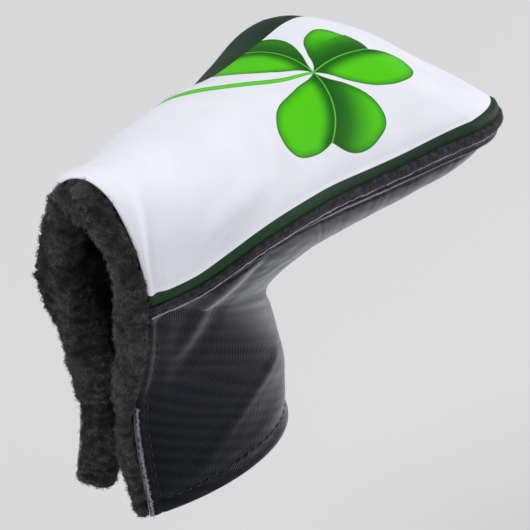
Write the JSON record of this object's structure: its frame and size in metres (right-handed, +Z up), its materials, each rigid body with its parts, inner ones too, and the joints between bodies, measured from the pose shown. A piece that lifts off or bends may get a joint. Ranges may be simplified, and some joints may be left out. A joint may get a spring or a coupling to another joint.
{
  "type": "putter head cover",
  "caption": "Sewn, padded blade putter head cover with a printed top, carbon-look sides, fleece lining and an open heel closed by two magnetic flaps.",
  "frame": {"origin": "on the fleece roof of the head pocket, straight above the middle of the shaft channel", "axes": "+X from heel to toe, +Y to the back side, +Z up from the neck to the top"},
  "size_m": [0.1469, 0.0798, 0.1091],
  "materials": {
    "printed_top": "smooth printed polyester, slight sheen",
    "carbon_leatherette": "embossed carbon-look twill, satin",
    "foam": "soft open-cell padding",
    "fleece": "deep pile fleece, matt",
    "piping": "woven tape, matt and slightly fuzzy",
    "piping_core": "twisted cotton",
    "magnet": "nickel plated"
  },
  "bodies": {
    "cover": {"top_shell": "printed_top", "top_foam": "foam", "top_lining": "fleece", "front_side_shell": "carbon_leatherette", "front_side_foam": "foam", "front_side_lining": "fleece", "back_side_shell": "carbon_leatherette", "back_side_foam": "foam", "back_side_lining": "fleece", "seam_piping": "piping", "piping_cord": "piping_core"},
    "front_flap": {"front_flap_shell": "carbon_leatherette", "front_flap_foam": "foam", "front_flap_lining": "fleece", "front_flap_upper_magnet": "magnet", "front_flap_lower_magnet": "magnet"},
    "back_flap": {"back_flap_shell": "carbon_leatherette", "back_flap_foam": "foam", "back_flap_lining": "fleece", "back_flap_upper_magnet": "magnet", "back_flap_lower_magnet": "magnet"}
  },
  "joints": [
    {"name": "front_flap_fold", "type": "hinge", "parent": "cover", "child": "front_flap", "pos_m": [-0.0415, -0.018, -0.0285], "axis": [-0.4072, 0.0635, 0.9111], "range_deg": [0, 50], "stiffness_Nm_per_rad": 0.05},
    {"name": "back_flap_fold", "type": "hinge", "parent": "cover", "child": "back_flap", "pos_m": [-0.0415, 0.018, -0.0285], "axis": [0.4072, 0.0635, -0.9111], "range_deg": [0, 50], "stiffness_Nm_per_rad": 0.05}
  ]
}
